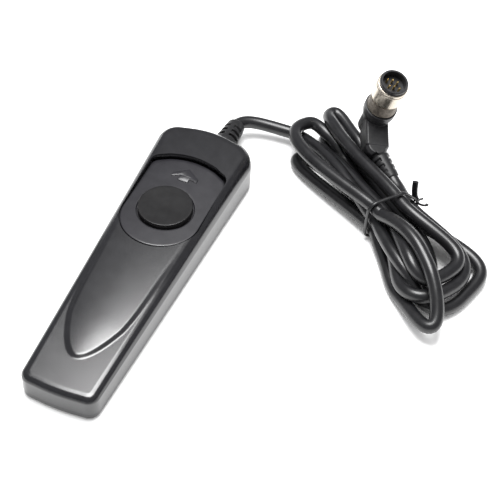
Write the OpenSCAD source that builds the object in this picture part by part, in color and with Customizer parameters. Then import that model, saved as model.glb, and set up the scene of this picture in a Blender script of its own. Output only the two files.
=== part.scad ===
// Wired remote shutter release: a sliding-lock handset, a tied cable and a right-angle plug.
// The origin is the centre of the handset on the table, +Y towards the cable end, +Z up.

/* [Handset] */
// Length of the handset
case_length = 108; // [104:1:112]
// Width of the handset at its tail
tail_width = 23.1; // [22.5:0.1:24]
// Width of the handset at its cable end
head_width = 33.1; // [33:0.1:34.5]
// Height of the top face at the tail
tail_height = 9.1; // [9:0.1:9.6]
// Height of the top face at the cable end
head_height = 13.9; // [13.7:0.1:14.4]
// Height of the raised tongue above the top face
tongue_step = 0.7; // [0.4:0.1:0.9]
// Wall thickness of the covers
wall = 1.6; // [1.4:0.1:1.8]
// Height of the joint between the two covers
parting_height = 2.3; // [2.2:0.1:2.6]

/* [Lock slider and button] */
// Radius of the round lower end of the lock slider
slider_radius = 12.4; // [12:0.1:12.5]
// Distance from the case centre to the middle of that round end
slider_centre = 13.8; // [13.4:0.1:14.2]
// Distance from the case centre to the upper edge of the slider
slider_top_edge = 38.7; // [38:0.1:38.8]
// Travel of the lock slider
lock_travel = 2.0; // [1.5:0.1:2.2]
// Diameter of the shutter button
button_diameter = 16.7; // [16:0.1:17]
// Travel of the shutter button
button_travel = 1.3; // [1:0.1:1.4]

/* [Cable] */
// Diameter of the cable jacket
cable_diameter = 4.2; // [3.8:0.1:4.2]
// Number of steps along each half loop
loop_steps = 16; // [12:1:18]

/* [Plug] */
// Outer diameter of the coupling ring
ring_diameter = 10; // [10:0.1:10.4]
// Outer diameter of the plug's tip
tip_diameter = 9; // [8.8:0.1:9.2]
// Spacing of the contact pins
pin_pitch = 1.65; // [1.5:0.05:1.7]

/* [Hidden] */

// A gap that keeps two fixed neighbours apart, and one that lets a moving piece run
seat_gap = 0.05;
run_gap = 0.08;

// Plan of the case
half_length = case_length / 2;
tail_corner = 3.5;
head_corner = 7;
least_corner = 0.4;
head_bow = 62;
tail_bow = 120;
bevel = 2.4;
arc_steps = 6;

// Levels of the lock slider and the button
plate_top = 12.5;
plate_under = 11;
crown_radius = 128;
pocket_floor_top = plate_under - run_gap;
pocket_floor_under = 9.7;
pocket_gap = 0.35;
slider_bow = 22;
slider_corner = 3;
button_centre = 17;
button_top = plate_top + button_travel;
button_foot = 8.2;
collar_foot = 9.4;
flange_radius = 9.3;
flange_height = 1.1;
collar_radius = 9.8;
hook_x = 11.3;
hook_rows = [13, 30];
hook_length = 3;

// Levels inside the case
floor_top = 1.5;
bridge_under = 6.1;
bridge_thick = 0.6;
post_x = 10.9;
post_y = 18;
stem_radius = 1.5;
stem_foot = 5.57;
leaf_thick = 0.3;
leaf_width = 5;
leaf_levels = [2.85, 4.0, 5.2];
leaf_root = -4.8;
leaf_ends = [14, 14, 21];
terminal_end = -19;
stack_near = -5;
stack_far = -16;
contact_y = 12;
contact_radius = 0.9;
contact_height = 0.25;
stack_screw_rows = [-7.8, -13.2];
wire_radius = 0.55;

// Cable entry
boot_x = 3;
boot_z = 6.4;
boot_start = half_length - 0.15;
boot_end = boot_start + 12.6;
boot_flange = 4.2;
clamp_y = 46;

// Case screws
screw_places = [[6.5, -45], [-6.5, -45], [11.3, 43.5], [-11.3, 43.5]];
screw_shank = 0.9;
screw_head = 1.9;

// Tied bundle of cable
tie_centre = [62.7, 48.5];
tie_angle = -40;
strand_pitch = 4.3;
slot_height = 3.9;
tie_straight = 4;
jacket_sides = 10;
cable_radius = cable_diameter / 2;
tie_radius = 0.7;

// Plug pose: the corner of its two axes, and the turns that tip it
plug_corner = [45.7, 79.7, 14.8];
plug_turns = [-9.2, 15.1, -68.7];
relief_pivot = 12;
relief_turn = 30;
relief_length = 11;
relief_end = [relief_pivot + relief_length * cos(relief_turn), relief_length * sin(relief_turn), 0];

// Plug levels along its own axis, from that corner
collar_top = 8.2;
shell_foot = 1.6;
shell_head = 12.6;
shell_radius = 3.9;
shell_inner = 3.4;
clip_foot = 10;
clip_thick = 0.6;
clip_inner = 3.7;
clip_outer = 4.25;
ring_top = 20.6;
tip_top = 22;
tip_floor = 19.4;
pin_radius = 0.36;
pin_turn = -8;
pin_foot = 0.9;
pin_top = 21.2;

// ---------------------------------------------------------------- small helpers

function mix(a, b, t) = a + (b - a) * t;

// Points of an arc, both ends included
function arc(centre, r, from, to, steps) =
    [for (i = [0:steps]) centre + r * [cos(mix(from, to, i / steps)), sin(mix(from, to, i / steps))]];

// Half width of the case at a distance along it, and the heights of its side and top
function along(y) = (y + half_length) / case_length;
function half_width(y) = mix(tail_width, head_width, along(y)) / 2;
function top_height(y) = mix(tail_height, head_height, along(y));
function side_height(y) = mix(7.5, 9.6, along(y));

// Right half of the case outline, moved inwards by inset
function tail_round(inset) = max(least_corner, tail_corner - inset);
function head_round(inset) = max(least_corner, head_corner - inset);
function tail_corner_y(inset) = -half_length + inset + tail_round(inset) + 0.5;
function head_corner_y(inset) = half_length - inset - head_round(inset) - 1.4;
function right_side(inset) = concat(
    [for (x = [0, 4]) [x, -half_length + inset + x * x / tail_bow]],
    arc([half_width(tail_corner_y(inset)) - inset - tail_round(inset), tail_corner_y(inset)],
        tail_round(inset), -84, 0, arc_steps),
    arc([half_width(head_corner_y(inset)) - inset - head_round(inset), head_corner_y(inset)],
        head_round(inset), 0, 76, arc_steps),
    [for (x = [7, 3.5, 0]) [x, half_length - inset - x * x / head_bow]]);

// A closed outline from its right half, whose first and last points lie on the middle line
function both_sides(right) = concat(right,
    [for (i = [len(right) - 2:-1:1]) [-right[i][0], right[i][1]]]);

function case_outline(inset) = both_sides(right_side(inset));

// Right half of the tongue: a parabola at its tip, then the edge of the top face
function tongue_side() =
    let (edge = right_side(bevel + 0.15))
    concat([for (x = [0, 1.5, 3, 4.5, 6, 7.5, 9]) [x, -42.5 + pow(x / 2.5, 2)]],
        [for (p = edge) if (p[1] > 0) p]);

// Outline of the lock slider and of its pocket: round below, straight sides, a bowed upper edge
function slider_outline(r, top_edge, corner) = both_sides(concat(
    arc([0, slider_centre], r, -90, 0, 16),
    arc([r - corner, top_edge - corner - 2.6], corner, 0, 58, 4),
    [for (x = [6, 3, 0]) [x, top_edge - x * x / (2 * slider_bow)]]));

// A solid from a list of rings that have equally many points
module loft(rings) {
    count = len(rings[0]);
    layers = len(rings);
    points = [for (ring = rings) for (p = ring) p];
    sides = [for (k = [0:layers - 2]) for (i = [0:count - 1])
        let (j = (i + 1) % count)
        [k * count + i, k * count + j, (k + 1) * count + j, (k + 1) * count + i]];
    under = [for (i = [0:count - 1]) i];
    over = [for (i = [count - 1:-1:0]) (layers - 1) * count + i];
    polyhedron(points, concat([for (f = sides) [for (i = [3:-1:0]) f[i]]], [under], [over]));
}

// One ring of the case: its outline at a level between the side's top (0) and the top face (1)
function case_ring(inset, level) = [for (p = case_outline(inset))
    [p[0], p[1], mix(side_height(p[1]), top_height(p[1]), level)]];
function flat_ring(outline, z) = [for (p = outline) [p[0], p[1], z]];

// One ring of the tongue, drawn in towards its middle by a scale
function tongue_ring(s, rise) = [for (p = both_sides(tongue_side()))
    let (y = mix(10, p[1], s)) [p[0] * s, y, top_height(y) + rise]];

module bar(size, place) {
    translate(place - [size[0] / 2, size[1] / 2, 0]) cube(size);
}

module post(r, from, to, place) {
    translate([place[0], place[1], from]) cylinder(r = r, h = to - from, $fn = 48);
}

// A straight screw with a flat head, pointing down from its head's underside
module screw(r, shank, head_r, head_h) {
    translate([0, 0, -shank]) cylinder(r = r, h = shank + 0.01, $fn = 32);
    difference() {
        cylinder(r = head_r, h = head_h, $fn = 32);
        for (turn = [0, 90]) rotate(turn) bar([head_r * 1.2, head_r * 0.3, head_h], [0, 0, head_h * 0.5]);
    }
}

// One ring of a tube along a list of points, square to the way it runs
function cord_ring(points, i, r, sides) =
    let (ahead = points[min(len(points) - 1, i + 1)] - points[max(0, i - 1)],
         d = ahead / norm(ahead),
         side = cross(d, [0, 0, 1]),
         u = norm(side) > 0.05 ? side / norm(side) : [1, 0, 0],
         v = cross(u, d))
    [for (k = [0:sides - 1]) points[i] + r * (u * cos(360 * k / sides) + v * sin(360 * k / sides))];

module tube(points, r, sides) {
    loft([for (i = [0:len(points) - 1]) cord_ring(points, i, r, sides)]);
}

// A tube that may touch or cross itself, as a chain of short hulls
module cord(points, r, sides) {
    for (i = [0:len(points) - 2])
        if (norm(points[i + 1] - points[i]) > 0.01)
            hull() loft([cord_ring(points, i, r, sides), cord_ring(points, i + 1, r, sides)]);
}

// A point of a curve drawn by any number of handles
function curve_point(h, t) = len(h) == 1 ? h[0]
    : curve_point([for (i = [0:len(h) - 2]) (1 - t) * h[i] + t * h[i + 1]], t);
function curve(h, steps) = [for (i = [0:steps]) curve_point(h, i / steps)];

// ---------------------------------------------------------------- case

module case_solid() {
    loft([flat_ring(case_outline(0), parting_height), case_ring(0, 0), case_ring(0.5, 0.55),
        case_ring(1.3, 0.86), case_ring(bevel, 1)]);
    loft([tongue_ring(1, -0.8), tongue_ring(1, 0.02), tongue_ring(0.975, tongue_step * 0.6),
        tongue_ring(0.94, tongue_step * 0.9), tongue_ring(0.8, tongue_step),
        tongue_ring(0.5, tongue_step + 0.25)]);
}

// The hollow of the top cover, stopped short of the slider's pocket
module case_hollow() {
    roof = wall + 0.1;
    difference() {
        loft([flat_ring(case_outline(wall), parting_height - 1),
            [for (p = case_outline(wall)) [p[0], p[1], side_height(p[1]) - 0.5]],
            [for (p = case_outline(bevel + wall - 0.4)) [p[0], p[1], top_height(p[1]) - roof]]]);
        translate([0, 0, pocket_floor_under])
            linear_extrude(height = 10)
                polygon(slider_outline(slider_radius + wall, slider_top_edge + lock_travel + wall,
                    slider_corner + 1));
    }
}

// Opening for the slider's plate, and the room under its upper edge that the plate slides into
module slider_pocket() {
    opening = slider_radius + pocket_gap;
    translate([0, 0, pocket_floor_top])
        linear_extrude(height = 10)
            polygon(slider_outline(opening, slider_top_edge + 0.7, slider_corner + 0.3));
    translate([0, 0, pocket_floor_top])
        linear_extrude(height = plate_top + 0.15 - pocket_floor_top)
            polygon(slider_outline(opening, slider_top_edge + lock_travel + 0.4, slider_corner + 0.3));
    // Slot for the slider's collar, which carries the button
    slot_radius = collar_radius + 0.15;
    for (y = [0, lock_travel]) post(slot_radius, 0, 20, [0, button_centre + y]);
    bar([2 * slot_radius, lock_travel, 20], [0, button_centre + lock_travel / 2, 0]);
    // Slots for the slider's four hooks
    for (side = [-1, 1], y = hook_rows)
        bar([1.5, hook_length + lock_travel + 0.3, 20], [side * hook_x, y + lock_travel / 2, 5]);
}

module top_cover() {
    color([0.08, 0.08, 0.09])
    difference() {
        union() {
            difference() {
                case_solid();
                case_hollow();
            }
            for (p = screw_places)
                post(2.3, parting_height + 0.6, top_height(p[1]) - 0.9, p);
            // Ribs that hold the cable entry
            for (side = [-1, 1])
                bar([1.2, 5, 7], [boot_x + side * 6.4, half_length - 4, parting_height + 1.1]);
        }
        slider_pocket();
        for (p = screw_places)
            post(screw_shank + 0.05, 0, 7.2, p);
        // Cable entry through the end wall
        translate([boot_x, half_length - 4, boot_z])
            rotate([-90, 0, 0]) cylinder(r = 3.35, h = 8, $fn = 64);
        translate([boot_x, half_length - 7, boot_z])
            rotate([-90, 0, 0]) cylinder(r = boot_flange + 0.1, h = 7 - wall + 0.05, $fn = 64);
    }
}

module bottom_cover() {
    color([0.07, 0.07, 0.08])
    difference() {
        union() {
            linear_extrude(height = 0.6) polygon(case_outline(0.9));
            translate([0, 0, 0.6])
                linear_extrude(height = parting_height - seat_gap - 0.6) polygon(case_outline(0.15));
            // Lip that locates the top cover, and bosses for the inner pieces
            translate([0, 0, 1])
                linear_extrude(height = 2.2)
                    difference() {
                        polygon(case_outline(wall + 0.1));
                        polygon(case_outline(wall + 1));
                    }
            for (side = [-1, 1]) post(2, 1, bridge_under - seat_gap, [side * post_x, post_y]);
            for (y = stack_screw_rows) post(1.6, 1, 2.1, [0, y]);
            for (side = [-1, 1]) post(1.8, 1, 4, [boot_x + side * 4.6, clamp_y - 5]);
        }
        // Room inside
        translate([0, 0, floor_top])
            linear_extrude(height = 0.8)
                difference() {
                    polygon(case_outline(wall + 1));
                    for (p = screw_places) translate(p) circle(r = 3, $fn = 48);
                    for (side = [-1, 1]) translate([side * post_x, post_y]) circle(r = 2, $fn = 48);
                    for (y = stack_screw_rows) translate([0, y]) circle(r = 1.6, $fn = 48);
                    for (side = [-1, 1])
                        translate([boot_x + side * 4.6, clamp_y - 5]) circle(r = 1.8, $fn = 48);
                }
        // Clearance around the top cover's screw bosses
        for (p = screw_places) post(2.3 + 0.1, parting_height + 0.5, 4, p);
        // Room for the cable boot's flange
        translate([boot_x, half_length - 7, boot_z])
            rotate([-90, 0, 0]) cylinder(r = boot_flange + 0.1, h = 7 - wall + 0.05, $fn = 64);
        // Countersunk case screws from below
        for (p = screw_places) {
            post(screw_shank + 0.15, -1, 4, p);
            post(screw_head + 0.1, -1, 1.2, p);
        }
        // Pilot holes
        for (side = [-1, 1]) post(0.65, 2, 8, [side * post_x, post_y]);
        for (y = stack_screw_rows) post(0.75, 0.6, 8, [0, y]);
        for (side = [-1, 1]) post(0.65, 1, 8, [boot_x + side * 4.6, clamp_y - 5]);
    }
}

module case_screws() {
    color([0.55, 0.56, 0.58])
    for (p = screw_places)
        translate([p[0], p[1], 1.15]) rotate([180, 0, 0]) screw(screw_shank, 5.6, screw_head, 0.95);
}

// ---------------------------------------------------------------- lock slider and button

module lock_slider() {
    color([0.12, 0.12, 0.13])
    difference() {
        union() {
            intersection() {
                translate([0, 0, plate_under])
                    linear_extrude(height = 3)
                        polygon(slider_outline(slider_radius, slider_top_edge, slider_corner));
                translate([0, -5, plate_top - crown_radius])
                    rotate([-90, 0, 0]) cylinder(r = crown_radius, h = 50, $fn = 720);
            }
            post(collar_radius, collar_foot, plate_under + 0.5, [0, button_centre]);
            direction_arrow();
            for (side = [-1, 1], y = hook_rows) slider_hook(side, y);
        }
        // Guide bore for the button, with a wider mouth and a bevel at the top
        post(button_diameter / 2 + run_gap, 5, 20, [0, button_centre]);
        post(button_diameter / 2 + 0.4, plate_under + 0.6, 20, [0, button_centre]);
        translate([0, button_centre, plate_top - 0.35])
            cylinder(r1 = button_diameter / 2 + 0.4, r2 = button_diameter / 2 + 0.7, h = 0.6, $fn = 96);
    }
}

// A leg that reaches through the pocket floor and hooks under it
module slider_hook(side, y) {
    bar([1.1, hook_length, plate_under - pocket_floor_under + 1.1 + 0.3],
        [side * hook_x, y, pocket_floor_under - 1.1]);
    bar([1.0, hook_length, 0.9], [side * (hook_x - 0.95), y, pocket_floor_under - 1.1]);
}

// A wide arrow that points towards the cable end
module direction_arrow() {
    half = 4.2;
    translate([0, 30.6, plate_top - 0.3])
        linear_extrude(height = 0.6)
            polygon([[0, 4.4], [-half, 1.6], [-half, -0.3], [-1.7, 1.2], [-1.7, -1], [1.7, -1],
                [1.7, 1.2], [half, -0.3], [half, 1.6]]);
}

module shutter_button() {
    r = button_diameter / 2;
    inner = r - 1.2;
    roof = button_top - 1.4;
    color([0.05, 0.05, 0.055])
    translate([0, button_centre, 0])
        rotate_extrude($fn = 128)
            polygon([[0, button_top - 0.25], [r - 2.2, button_top - 0.12], [r - 1, button_top],
                [r - 0.45, button_top], [r, button_top - 0.45], [r, button_foot + flange_height],
                [flange_radius, button_foot + flange_height], [flange_radius, button_foot],
                [inner, button_foot], [inner, roof], [stem_radius, roof], [stem_radius, stem_foot],
                [0, stem_foot]]);
}

// A coil between the bridge and the button's roof
module return_spring() {
    turns = 4;
    steps = 14;
    wire = 0.3;
    foot = bridge_under + bridge_thick + wire + 0.06;
    head = button_top - 1.4 - wire - 0.06;
    color([0.7, 0.71, 0.73])
    tube([for (i = [0:turns * steps])
        let (a = 360 * i / steps)
        [4 * cos(a), button_centre + 4 * sin(a), mix(foot, head, i / (turns * steps))]], wire, 8);
}

// ---------------------------------------------------------------- inside the case

module spring_bridge() {
    color([0.62, 0.6, 0.52])
    difference() {
        union() {
            bar([2 * post_x, 9, bridge_thick], [0, post_y, bridge_under]);
            for (side = [-1, 1])
                post(2, bridge_under, bridge_under + bridge_thick, [side * post_x, post_y]);
        }
        // Slot for the button's stem, long enough for the slider's travel
        for (y = [0, lock_travel]) post(stem_radius + 0.25, 0, 20, [0, button_centre + y]);
        bar([2 * stem_radius + 0.5, lock_travel, 20], [0, button_centre + lock_travel / 2, 0]);
        for (side = [-1, 1]) post(0.75, 0, 20, [side * post_x, post_y]);
    }
}

module bridge_screws() {
    color([0.6, 0.6, 0.62])
    for (side = [-1, 1])
        translate([side * post_x, post_y, bridge_under + bridge_thick + 0.02]) screw(0.6, 3.4, 1.4, 0.8);
}

// A contact blade from its root to its free end, with a contact point on its underside
module blade(level, far_end, has_contact) {
    bar([leaf_width, far_end - leaf_root, leaf_thick], [0, (leaf_root + far_end) / 2, leaf_levels[level]]);
    if (has_contact)
        post(contact_radius, leaf_levels[level] - contact_height, leaf_levels[level] + 0.05, [0, contact_y]);
}

module common_leaf() {
    color([0.85, 0.68, 0.35]) blade(2, leaf_ends[2], true);
}

module focus_leaf() {
    color([0.85, 0.68, 0.35]) blade(1, leaf_ends[1], true);
}

// A fixed strip in the stack, with insulated holes for the stack's screws
module strip(level, near) {
    shift = (level - 1) * 1.9;
    difference() {
        union() {
            bar([leaf_width, near - stack_far, leaf_thick], [0, (near + stack_far) / 2, leaf_levels[level]]);
            bar([1.4, stack_far - terminal_end + 0.2, leaf_thick],
                [shift, (stack_far + terminal_end) / 2 + 0.1, leaf_levels[level]]);
        }
        for (y = stack_screw_rows) post(1.3, 0, 20, [0, y]);
    }
}

module shutter_leaf() {
    color([0.85, 0.68, 0.35])
    union() {
        strip(0, stack_near);
        bar([leaf_width, leaf_ends[0] - stack_near + 0.2, leaf_thick],
            [0, (stack_near + leaf_ends[0]) / 2 - 0.1, leaf_levels[0]]);
    }
}

module leaf_terminals() {
    color([0.85, 0.68, 0.35])
    for (level = [1, 2]) strip(level, stack_near);
}

// Insulating plates between the strips
module leaf_spacers() {
    stack_foot = parting_height;
    stack_head = 6.3;
    feet = concat([stack_foot], [for (z = leaf_levels) z + leaf_thick + seat_gap]);
    heads = concat([for (z = leaf_levels) z - seat_gap], [stack_head]);
    color([0.72, 0.5, 0.28])
    for (i = [0:3])
        difference() {
            bar([8, stack_near - stack_far, heads[i] - feet[i]], [0, (stack_near + stack_far) / 2, feet[i]]);
            for (y = stack_screw_rows) post(0.85, 0, 20, [0, y]);
        }
}

module stack_screws() {
    color([0.6, 0.6, 0.62])
    for (y = stack_screw_rows) translate([0, y, 6.32]) screw(0.7, 5.6, 1.5, 0.9);
}

// Three conductors from the cable's end to the tails of the contact strips
module inner_wires() {
    for (i = [0:2]) {
        run_x = 4.9 + 1.3 * i;
        low = 2.35;
        tail = [(i - 1) * 1.9, terminal_end + 0.9, leaf_levels[i] - wire_radius - 0.06];
        color([[0.75, 0.1, 0.08], [0.9, 0.9, 0.88], [0.85, 0.7, 0.1]][i])
        tube(concat(
            curve([tail, tail + [0, -4 - 1.5 * i, -0.3], [run_x, -24 - 1.5 * i, low], [run_x, -12, low]], 10),
            curve([[run_x, 26, low], [run_x, 34, low], [boot_x + (i - 1) * 1.25, 34, 5.8],
                [boot_x + (i - 1) * 1.25, clamp_y - 7.3, boot_z]], 8)), wire_radius, 8);
    }
}

// A saddle that holds the cable's end down inside the case
module cable_clamp() {
    color([0.15, 0.15, 0.16])
    translate([boot_x, clamp_y - 7, 0])
    difference() {
        union() {
            bar([11.8, 4, 1.4], [0, 2, 4.05]);
            translate([0, 0, boot_z]) rotate([-90, 0, 0]) cylinder(r = cable_radius + 1.1, h = 4, $fn = 64);
        }
        translate([0, -1, boot_z]) rotate([-90, 0, 0])
            cylinder(r = cable_radius + seat_gap, h = 8, $fn = 64);
        bar([2 * cable_radius + 0.1, 8, boot_z], [0, 2, 0]);
        bar([20, 8, 4.05], [0, 2, 0]);
        for (side = [-1, 1]) post(0.75, 0, 20, [side * 4.6, 2]);
    }
}

module clamp_screws() {
    color([0.6, 0.6, 0.62])
    for (side = [-1, 1])
        translate([boot_x + side * 4.6, clamp_y - 5, 5.47]) screw(0.6, 4, 1.1, 0.7);
}

// ---------------------------------------------------------------- cable

// Rubber boot: a flange inside the wall, a neck through it and a ribbed taper outside
module cable_boot() {
    base = 4.1;
    tip = 3;
    bore = cable_radius + seat_gap;
    color([0.06, 0.06, 0.065])
    translate([boot_x, 0, boot_z])
    rotate([-90, 0, 0])
    difference() {
        rotate_extrude($fn = 96)
            polygon([[bore, boot_start - 3], [boot_flange, boot_start - 3], [boot_flange, boot_start - 1.75],
                [3.3, boot_start - 1.75], [3.3, boot_start + 0.2], [base, boot_start + 0.2],
                [base, boot_start + 2], [tip, boot_end - 0.4], [tip - 0.4, boot_end], [bore, boot_end]]);
        // Three rings of slots, left open along four ridges
        for (ring = [0:2], quarter = [0:3])
            translate([0, 0, boot_start + 3.6 + 2.3 * ring])
                rotate(quarter * 90 + 12)
                    rotate_extrude(angle = 66, $fn = 96)
                        translate([bore + 0.55, 0]) square([3, 1.2]);
    }
}

// Where the cable passes through the tie: columns across the bundle and rows upwards
tie_slots = [[0, 1], [3, 0], [2, 2], [1, 1], [2, 1], [2, 0], [0, 2], [0, 0], [1, 0], [3, 1]];
tie_along = [cos(tie_angle), sin(tie_angle), 0];
tie_across = [-sin(tie_angle), cos(tie_angle), 0];
function slot_place(column, row) = [tie_centre[0], tie_centre[1], slot_height + row * strand_pitch]
    + (column - 1.5) * strand_pitch * tie_across;
// The way a strand goes off from the tie on one side, turned by some degrees
function off_tie(side, turn) = side * [cos(tie_angle + turn), sin(tie_angle + turn), 0];
function slot_point(i) = slot_place(tie_slots[i][0], tie_slots[i][1]);

// The loops in turn, right and left of the tie: the far end, which way the cable runs there, the
// handles before and after it, then how far and how much turned the cable leaves the tie and returns
loops = [
    [[92, 30, 2.2], 72, 22, 14, 22, -14, 34, 27],
    [[30.5, 84, 6], -130, 6, 8, 18, 16, 15, 0],
    [[86.5, 33, 6.4], -112, 12, 20, 14, 0, 22, -20],
    [[31.5, 79, 2.2], 50, 7, 6, 16, 0, 17, 5],
    [[79.5, 29, 2.2], -112, 10, 12, 12, 6, 26, -34],
    [[25, 75.5, 10], -130, 8, 14, 18, 0, 28, 18],
    [[86.5, 11.5, 5], -150, 5, 5, 22, 14, 18, -10],
    [[26.5, 65.5, 2.2], 50, 6, 6, 26, 12, 17, 0],
    [[88, 28.5, 6.4], 65, 22, 18, 24, -26, 14, 8]
];

function loop_curve(i) =
    let (side = i % 2 == 0 ? 1 : -1,
         straight = side * tie_straight * tie_along,
         run = [cos(loops[i][1]), sin(loops[i][1]), 0],
         far = loops[i][0],
         here = slot_point(i),
         next = slot_point(i + 1))
    concat(curve([here, here + straight, here + loops[i][4] * off_tie(side, loops[i][5]),
            far - run * loops[i][2], far], loop_steps),
        curve([far, far + run * loops[i][3], next + loops[i][6] * off_tie(side, loops[i][7]),
            next + straight, next], loop_steps));

// From inside the handset to the tie, and from the tie into the plug
cable_start = [boot_x, clamp_y - 7.2, boot_z];
first_bend = [20, 73, 4];
function lead_curve() =
    let (leaving = [boot_x, boot_end - 1, boot_z], last = slot_point(0))
    concat([cable_start], curve([leaving, leaving + [0, 6, 0], first_bend - [9, 0.5, -0.6], first_bend], 12),
        curve([first_bend, first_bend + [9, 0.5, -1], last - 18 * tie_along, last], loop_steps));
function tail_curve() =
    let (first = slot_point(len(loops)), inside = plug_point([relief_pivot, 0, 0]),
         mouth = plug_point(relief_end), out = (mouth - inside) / norm(mouth - inside))
    concat(curve([first, first - 6 * tie_along, mouth + 6 * out, mouth], 10), [inside]);

// The whole route without doubled points
function joined(parts) = [for (part = parts) for (i = [0:len(part) - 1])
    if (i > 0 || part == parts[0]) part[i]];
function cable_route() = joined(concat([lead_curve()],
    [for (i = [0:len(loops) - 1]) loop_curve(i)], [tail_curve()]));

module cable_jacket() {
    color([0.05, 0.05, 0.055]) cord(cable_route(), cable_radius, jacket_sides);
}

// A plastic-covered wire round the bundle, with one straight end and one curled end
module twist_tie() {
    reach = cable_radius + tie_radius + 0.12;
    corners = [[0, 0, 270, 180], [0, 2, 180, 90], [2, 2, 90, 45], [3, 1, 45, 0], [3, 0, 0, -90],
        [0, 0, 270, 268]];
    ends = slot_place(3, 1) + reach * (tie_across * cos(25) + [0, 0, sin(25)]);
    color([0.04, 0.04, 0.045]) {
        cord([for (c = corners) for (i = [0:4])
            let (a = mix(c[2], c[3], i / 4))
            slot_place(c[0], c[1]) + reach * (tie_across * cos(a) + [0, 0, sin(a)])], tie_radius, 8);
        cord([ends, ends + [-0.9, 0, 1.6], ends + [-1.6, 0, 7.6]], tie_radius + 0.2, 8);
        cord([for (i = [0:8]) ends + tie_along * 1.4
            + [1.3 * sin(i * 40), 0, 0.3 * i - 1.6] + tie_across * (1.3 + 1.3 * cos(i * 40))],
            tie_radius * 0.6, 8);
    }
}

// ---------------------------------------------------------------- plug

module in_plug() {
    translate(plug_corner) rotate(plug_turns) children();
}

// The same placement for one point
function turned_z(p, a) = [p[0] * cos(a) - p[1] * sin(a), p[0] * sin(a) + p[1] * cos(a), p[2]];
function turned_y(p, a) = [p[0] * cos(a) + p[2] * sin(a), p[1], p[2] * cos(a) - p[0] * sin(a)];
function turned_x(p, a) = [p[0], p[1] * cos(a) - p[2] * sin(a), p[1] * sin(a) + p[2] * cos(a)];
function plug_point(p) = plug_corner
    + turned_z(turned_y(turned_x(p, plug_turns[0]), plug_turns[1]), plug_turns[2]);

// Overmoulded elbow: a flared collar, a leg with flat sides and a slotted strain relief
module plug_body() {
    half_leg = 3.8;
    flat = 3.3;
    color([0.06, 0.06, 0.065])
    in_plug()
    difference() {
        union() {
            rotate_extrude($fn = 96)
                polygon([[0, -4.2], [4.3, -4.2], [4.3, 1.8], [5.35, 5.6], [5.35, collar_top],
                    [0, collar_top]]);
            rotate([0, 90, 0])
                linear_extrude(height = relief_pivot)
                    polygon([[-flat, -half_leg], [flat, -half_leg], [half_leg, -flat], [half_leg, flat],
                        [flat, half_leg], [-flat, half_leg], [-half_leg, flat], [-half_leg, -flat]]);
            translate([relief_pivot, 0, 0]) {
                rotate_extrude($fn = 96)
                    polygon([[0, -3.6], [2.9, -3.6], [3.74, -2.5], [3.74, 2.5], [2.9, 3.6], [0, 3.6]]);
                rotate([0, 90, relief_turn]) cylinder(r1 = 3.65, r2 = 2.5, h = relief_length, $fn = 96);
            }
        }
        // Seat for the shell, room for the conductors and the cable's bore
        translate([0, 0, shell_foot - 0.05]) cylinder(r = shell_radius + seat_gap, h = 20, $fn = 96);
        translate([0, 0, -2.2]) cylinder(r = 3, h = 5, $fn = 64);
        rotate([0, 90, 0]) cylinder(r = 2.4, h = relief_pivot, $fn = 64);
        translate([relief_pivot, 0, 0])
            rotate([0, 90, relief_turn])
                translate([0, 0, -0.2])
                    cylinder(r = cable_radius + seat_gap, h = relief_length + 1, $fn = 64);
        // Slots on both sides of the strain relief
        for (i = [0:3], side = [0, 180])
            translate([relief_pivot, 0, 0])
                rotate([0, 90, relief_turn])
                    translate([0, 0, 2 + 2.1 * i])
                        rotate(side + 25)
                            rotate_extrude(angle = 130, $fn = 96)
                                translate([cable_radius + 0.5, 0]) square([3, 1]);
    }
}

module plug_shell() {
    color([0.7, 0.69, 0.66])
    in_plug()
    rotate_extrude($fn = 128)
        polygon([[shell_inner, shell_foot], [shell_radius, shell_foot], [shell_radius, clip_foot],
            [clip_inner - 0.03, clip_foot], [clip_inner - 0.03, clip_foot + clip_thick + 0.06],
            [shell_radius, clip_foot + clip_thick + 0.06], [shell_radius, shell_head],
            [shell_inner, shell_head]]);
}

// Pins stand in two bowed rows of three, half a pitch apart
pin_places = [for (row = [-1, 1], column = [-1:1])
    [row * 1.1 - 0.4 * (1 - abs(column)) + 0.2, (column + row / 4) * pin_pitch]];

module contact_insulator() {
    tip = tip_diameter / 2;
    color([0.03, 0.03, 0.035])
    in_plug()
    rotate(pin_turn)
    difference() {
        rotate_extrude($fn = 128)
            polygon([[0, shell_foot + 0.4], [shell_inner - seat_gap, shell_foot + 0.4],
                [shell_inner - seat_gap, shell_head + seat_gap], [tip - 0.3, shell_head + seat_gap],
                [tip - 0.3, ring_top + 0.1], [tip, ring_top + 0.1], [tip, tip_top - 0.2],
                [tip - 0.2, tip_top], [tip - 0.75, tip_top],
                [tip - 0.75, tip_floor], [0, tip_floor]]);
        for (p = pin_places) translate([p[0], p[1], 0]) cylinder(r = pin_radius + seat_gap, h = 30, $fn = 32);
        // Keyway in the wall of the tip
        bar([1, 1.2, 4], [tip - 0.95, 0, tip_floor]);
    }
}

module contact_pins() {
    color([0.9, 0.72, 0.35])
    in_plug()
    rotate(pin_turn)
        for (p = pin_places)
            translate([p[0], p[1], pin_foot]) {
                cylinder(r = pin_radius, h = pin_top - pin_foot - 0.2, $fn = 32);
                translate([0, 0, pin_top - pin_foot - 0.2])
                    cylinder(r1 = pin_radius, r2 = pin_radius * 0.5, h = 0.2, $fn = 32);
            }
}

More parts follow.
